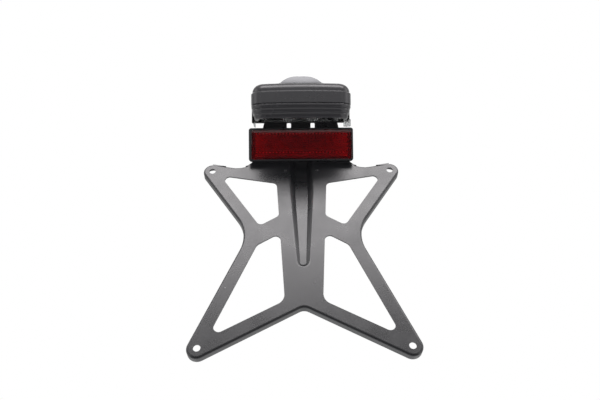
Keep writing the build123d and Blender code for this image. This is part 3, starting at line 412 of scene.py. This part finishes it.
class TIDY_OT_materials(bpy.types.Operator):
    """Makes the shared node groups and the finishes of all pieces"""

    bl_idname = "tidy.materials"
    bl_label = "Make finishes"

    def execute(self, context):
        carrier = context.scene.tidy_carrier
        reflector = context.scene.tidy_reflector
        lamp = context.scene.tidy_lamp
        grain_group()
        speck_group()
        finish_material(
            "Carrier powder coat",
            carrier.paint,
            carrier.paint_roughness,
            grain_size=0.0012,
            grain_height=0.00003,
            specks=0.05,
            specular=0.75,
        )
        finish_material("Tray plastic", (0.018, 0.018, 0.019), 0.28, grain_size=0.0005, grain_height=0.00001)
        finish_material("Cover plastic", lamp.cover, 0.26, grain_size=0.0009, grain_height=0.000012, specks=0.04)
        finish_material("Base plastic", (0.02, 0.02, 0.021), 0.45, grain_size=0.0005, grain_height=0.00001)
        finish_material("Black rubber", (0.018, 0.018, 0.018), 0.7, grain_size=0.0004, grain_height=0.00002)
        finish_material("Grey rubber", lamp.boot, 0.62, grain_size=0.0005, grain_height=0.00002, colour_spread=0.06)
        finish_material(
            "Zinc plating",
            (0.62, 0.62, 0.6),
            0.28,
            grain_size=0.0003,
            grain_height=0.000004,
            metallic=1.0,
            colour_spread=0.05,
        )
        finish_material(
            "Brass blades", (0.7, 0.53, 0.27), 0.25, grain_height=0.000003, metallic=1.0, colour_spread=0.05
        )
        finish_material("White mirror", (0.82, 0.82, 0.81), 0.2, grain_height=0.000003, colour_spread=0.02)
        cells = finish_material(
            "Prism cells", reflector.cells, 0.12, grain_height=0.0, metallic=0.75, colour_spread=0.45, patch_size=0.005
        )
        # Painted highlight on the prism cells at both ends of the reflector
        painted_highlight_ends(cells, reflector.painted_highlight_cells, *(place * MM for place in PAINTED_HIGHLIGHT_ENDS))
        # Painted highlight: the pins are coloured much lighter than the cells, so they show as rows of light dots
        finish_material(
            "Pins painted highlight",
            (0.6, 0.15, 0.15),
            0.3,
            grain_height=0.0,
            metallic=0.3,
            colour_spread=0.4,
            patch_size=0.004,
        )
        clear_material("Red lens", reflector.lens, 0.03, 0.002, 0.000004)
        clear_material(
            "Clear lens", (0.42, 0.43, 0.43), 0.15, 0.0015, 0.00001, flute_pitch=0.0022, flute_height=0.0003
        )
        clear_material("Bulb glass", (0.96, 0.96, 0.96), 0.01, 0.003, 0.000004)
        return {"FINISHED"}


class TIDY_OT_carrier(bpy.types.Operator):
    """Finishes the pressed carrier with its powder coat and softened edges"""

    bl_idname = "tidy.carrier"
    bl_label = "Finish carrier"

    def execute(self, context):
        rounding = context.scene.tidy_carrier.edge_rounding
        dressed("plate_carrier", bpy.data.materials["Carrier powder coat"], rounding)
        return {"FINISHED"}


class TIDY_OT_reflector(bpy.types.Operator):
    """Finishes the reflector and fills its lens with prism cells"""

    bl_idname = "tidy.reflector"
    bl_label = "Finish reflector"

    def execute(self, context):
        pitch = context.scene.tidy_reflector.cell_pitch
        materials = bpy.data.materials
        dressed("reflector_tray", materials["Tray plastic"], 0.0005, grown=True)
        dressed("reflector_lens", materials["Red lens"], 0.0003, grown=True)
        for node in ("reflector_studs", "reflector_washers", "reflector_nuts"):
            dressed(node, materials["Zinc plating"], 0.0002)
        cells = prism_sheet(pitch)
        finish_piece(cells, "reflector_prisms", materials["Prism cells"], radians(5))
        # Pin rows carry a painted highlight colour
        finish_piece(pin_rows(), "reflector_pins", materials["Pins painted highlight"], radians(30))
        return {"FINISHED"}


def pin_rows():
    """Two rows of small pins on the prism sheet, along the lens's long edges, coloured light as painted highlights."""
    pins = bmesh.new()
    count = int(LENS_HOLLOW[0] / PIN_SPACING)
    for row in PIN_ROWS:
        for index in range(count):
            across = LENS_SHIFT + (index - (count - 1) / 2) * PIN_SPACING
            place = neck_matrix(across, TRAY_MIDDLE_UP + row, CELL_FRONT + PIN_HEIGHT / 2)
            bmesh.ops.create_cone(
                pins,
                cap_ends=True,
                segments=8,
                radius1=PIN_RADIUS * MM,
                radius2=PIN_RADIUS * MM * PIN_TIP_SHARE,
                depth=PIN_HEIGHT * MM,
                matrix=place,
            )
    return pins


def prism_sheet(pitch):
    """Sheet of cube-corner cells, each a six-sided pit with alternate rim corners lifted."""
    depth = pitch * CELL_DEPTH_SHARE
    radius = pitch / sqrt(3)
    width, height = ((side + 2 * LENS_HOLLOW_WIDENING) * MM - 2 * radius for side in LENS_HOLLOW)
    columns = int(width / pitch)
    rows = int(height / (pitch * sqrt(3) / 2))
    sheet = bmesh.new()
    cell = bmesh.ops.create_circle(sheet, cap_ends=True, cap_tris=False, segments=6, radius=radius)
    floor = bmesh.ops.poke(sheet, faces=sheet.faces[:])
    for vert in floor["verts"]:
        vert.co.z -= depth
    for index, vert in enumerate(cell["verts"]):
        if index % 2:
            vert.co.z -= depth / 2
    first = sheet.verts[:] + sheet.edges[:] + sheet.faces[:]
    for row in range(rows):
        for column in range(columns):
            if row == 0 and column == 0:
                continue
            copy = bmesh.ops.duplicate(sheet, geom=first)
            verts = [item for item in copy["geom"] if isinstance(item, bmesh.types.BMVert)]
            step = Vector(((column + (row % 2) / 2) * pitch, row * pitch * sqrt(3) / 2, 0))
            bmesh.ops.translate(sheet, verts=verts, vec=step)
    middle = Vector((columns * pitch / 2 - pitch / 4, (rows - 1) * pitch * sqrt(3) / 4, 0))
    bmesh.ops.translate(sheet, verts=sheet.verts[:], vec=-middle)
    bmesh.ops.transform(sheet, matrix=neck_matrix(LENS_SHIFT, TRAY_MIDDLE_UP, CELL_FRONT), verts=sheet.verts[:])
    return sheet


class TIDY_OT_lamp(bpy.types.Operator):
    """Finishes the lamp's cover, base, lens, bulb, boot and fixings"""

    bl_idname = "tidy.lamp"
    bl_label = "Finish lamp"

    def execute(self, context):
        materials = bpy.data.materials
        dressed("lamp_cover", materials["Cover plastic"], 0.00015, radians(24))
        dressed("lamp_base", materials["Base plastic"], 0.0003)
        dressed("base_seal", materials["Black rubber"], 0.0001)
        dressed("lens_gasket", materials["Black rubber"], 0.0001)
        dressed("holder_boot", materials["Grey rubber"], 0.0003)
        dressed("lamp_grommets", materials["Black rubber"], 0.0004)
        dressed("bulb_holder", materials["Base plastic"], 0.0002)
        dressed("lamp_mirror", materials["White mirror"], 0.0002)
        dressed("bulb_contacts", materials["Brass blades"], 0.0001)
        for node in ("cover_screws", "lens_screws", "lamp_collars", "lamp_bolts"):
            dressed(node, materials["Zinc plating"], 0.00025)
        give_material(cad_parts["lamp_lens"], materials["Clear lens"])
        give_material(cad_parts["bulb"], materials["Bulb glass"])
        return {"FINISHED"}


class TIDY_OT_stage(bpy.types.Operator):
    """Sets up the floor, the world, the soft lights and the camera"""

    bl_idname = "tidy.stage"
    bl_label = "Set the stage"

    def execute(self, context):
        stage = context.scene.tidy_stage
        context.scene.view_settings.view_transform = "Standard"
        self.make_floor(stage.floor_drop)
        self.make_world(context.scene)
        self.make_lights(stage.key_power)
        self.make_flag()
        self.make_camera(context.scene)
        return {"FINISHED"}

    def make_floor(self, drop):
        shape = bmesh.new()
        bmesh.ops.create_circle(shape, cap_ends=True, segments=96, radius=FLOOR_RADIUS)
        bmesh.ops.translate(shape, verts=shape.verts[:], vec=(0, 0, -drop))
        floor = placed(shape, "floor")
        material, tree, shader = new_material("Pale floor")
        shader.inputs["Base Color"].default_value = (0.86, 0.86, 0.86, 1)
        shader.inputs["Roughness"].default_value = 0.9
        shader.inputs["Specular IOR Level"].default_value = 0.1
        path = add_node(tree, "ShaderNodeLightPath")
        bare = add_node(
            tree,
            "ShaderNodeMath",
            {0: path.outputs["Is Camera Ray"], 1: path.outputs["Is Transmission Ray"]},
            operation="MAXIMUM",
        )
        seen = add_node(
            tree, "ShaderNodeMath", {0: bare.outputs[0], 1: path.outputs["Is Glossy Ray"]}, operation="MAXIMUM"
        )
        place = add_node(tree, "ShaderNodeTexCoord")
        flat = add_node(tree, "ShaderNodeVectorMath", {0: place.outputs["Object"], 1: (1, 1, 0)}, operation="MULTIPLY")
        away = add_node(tree, "ShaderNodeVectorMath", {0: flat.outputs["Vector"]}, operation="LENGTH")
        fade = add_node(
            tree,
            "ShaderNodeMapRange",
            {"Value": away.outputs["Value"], "From Min": FLOOR_FADE[0], "From Max": FLOOR_FADE[1]},
            interpolation_type="SMOOTHSTEP",
        )
        share = add_node(tree, "ShaderNodeMath", {0: seen.outputs[0], 1: fade.outputs["Result"]}, operation="MULTIPLY")
        white = add_node(tree, "ShaderNodeEmission", {"Color": (1, 1, 1, 1), "Strength": 1.0})
        mix = add_node(tree, "ShaderNodeMixShader", {0: share.outputs[0], 1: shader.outputs[0], 2: white.outputs[0]})
        output = next(node for node in tree.nodes if node.type == "OUTPUT_MATERIAL")
        tree.links.new(mix.outputs[0], output.inputs["Surface"])
        floor.data.materials.append(material)

    def make_world(self, scene):
        world = bpy.data.worlds.new("Studio")
        world.use_nodes = True
        tree = world.node_tree
        tree.nodes.clear()
        path = add_node(tree, "ShaderNodeLightPath")
        seen = add_node(
            tree,
            "ShaderNodeMath",
            {0: path.outputs["Is Camera Ray"], 1: path.outputs["Is Transmission Ray"]},
            operation="MAXIMUM",
        )
        ambient = add_node(tree, "ShaderNodeBackground", {"Color": (0.9, 0.95, 1.0, 1), "Strength": 0.35})
        mirrored = add_node(tree, "ShaderNodeBackground", {"Color": (1, 1, 1, 1), "Strength": 0.6})
        white = add_node(tree, "ShaderNodeBackground", {"Color": (1, 1, 1, 1), "Strength": 1.0})
        lit = add_node(
            tree,
            "ShaderNodeMixShader",
            {0: path.outputs["Is Glossy Ray"], 1: ambient.outputs[0], 2: mirrored.outputs[0]},
        )
        mix = add_node(tree, "ShaderNodeMixShader", {0: seen.outputs[0], 1: lit.outputs[0], 2: white.outputs[0]})
        output = add_node(tree, "ShaderNodeOutputWorld")
        tree.links.new(mix.outputs[0], output.inputs["Surface"])
        scene.world = world

    def make_lights(self, key_power):
        lights = [
            ("key_softbox", (0.12, -1.0, 0.98), (1.9, 0.7), key_power),
            ("left_softbox", (-1.2, -0.3, 0.5), (0.5, 0.9), key_power * 0.07),
            ("right_softbox", (1.2, -0.3, 0.5), (0.5, 0.9), key_power * 0.08),
            ("top_softbox", (0.0, 0.5, 1.2), (0.9, 0.6), key_power * 0.1),
        ]
        for name, place, size, power in lights:
            data = bpy.data.lights.new(name, "AREA")
            data.shape = "RECTANGLE"
            data.size, data.size_y = size
            data.energy = power
            data.color = LIGHT_TINT
            lamp = bpy.data.objects.new(name, data)
            aim = LIGHT_AIM - Vector(place)
            lamp.location = place
            lamp.rotation_euler = aim.to_track_quat("-Z", "Y").to_euler()
            bpy.context.scene.collection.objects.link(lamp)

    def make_flag(self):
        """Dark sheet under the part and rising in front of it, seen only in its gloss: a painted dark reflection, like
        a black flag in a studio but blocking no light and casting no shadow.
        """
        shape = bmesh.new()
        bmesh.ops.create_grid(shape, x_segments=1, y_segments=2, size=1.0)
        for vert in shape.verts:
            y, z = FLAG_LINE[round(vert.co.y) + 1]
            vert.co = (vert.co.x * FLAG_WIDTH / 2, y, z)
        flag = placed(shape, "flag")
        material, tree, shader = new_material("Dark reflection sheet")
        # Painted reflection: this dark colour is seen only in the gloss of the part and darkens its reflections
        shader.inputs["Base Color"].default_value = (0.1, 0.1, 0.1, 1)
        shader.inputs["Roughness"].default_value = 0.9
        shader.inputs["Specular IOR Level"].default_value = 0.0
        flag.data.materials.append(material)
        flag.visible_camera = False
        flag.visible_transmission = False
        flag.visible_diffuse = False
        flag.visible_shadow = False

    def make_camera(self, scene):
        data = bpy.data.cameras.new("camera")
        data.sensor_fit = "HORIZONTAL"
        data.sensor_width = 36.0
        data.lens = 37.33
        camera = bpy.data.objects.new("camera", data)
        turn = Matrix((CAMERA_RIGHT, CAMERA_UP, CAMERA_BACK)).transposed().to_4x4()
        camera.matrix_world = Matrix.Translation(CAMERA_PLACE) @ turn
        scene.collection.objects.link(camera)
        scene.camera = camera


class TIDY_PT_panel(bpy.types.Panel):
    bl_idname = "TIDY_PT_panel"
    bl_label = "Tail Tidy"
    bl_space_type = "VIEW_3D"
    bl_region_type = "UI"
    bl_category = "Tail Tidy"

    def draw(self, context):
        column = self.layout.column()
        for operator in OPERATORS:
            column.operator(operator.bl_idname)


OPERATORS = (TIDY_OT_materials, TIDY_OT_carrier, TIDY_OT_reflector, TIDY_OT_lamp, TIDY_OT_stage)
SETTINGS = {
    "tidy_carrier": CarrierSettings,
    "tidy_reflector": ReflectorSettings,
    "tidy_lamp": LampSettings,
    "tidy_stage": StageSettings,
}


def register():
    for settings in SETTINGS.values():
        bpy.utils.register_class(settings)
    for operator in OPERATORS:
        bpy.utils.register_class(operator)
    bpy.utils.register_class(TIDY_PT_panel)
    for name, settings in SETTINGS.items():
        setattr(bpy.types.Scene, name, bpy.props.PointerProperty(type=settings))


def unregister():
    for name in SETTINGS:
        delattr(bpy.types.Scene, name)
    bpy.utils.unregister_class(TIDY_PT_panel)
    for operator in reversed(OPERATORS):
        bpy.utils.unregister_class(operator)
    for settings in SETTINGS.values():
        bpy.utils.unregister_class(settings)


def main():
    register()
    bpy.ops.tidy.materials()
    bpy.ops.tidy.carrier()
    bpy.ops.tidy.reflector()
    bpy.ops.tidy.lamp()
    bpy.ops.tidy.stage()


if __name__ == "__main__":
    main()
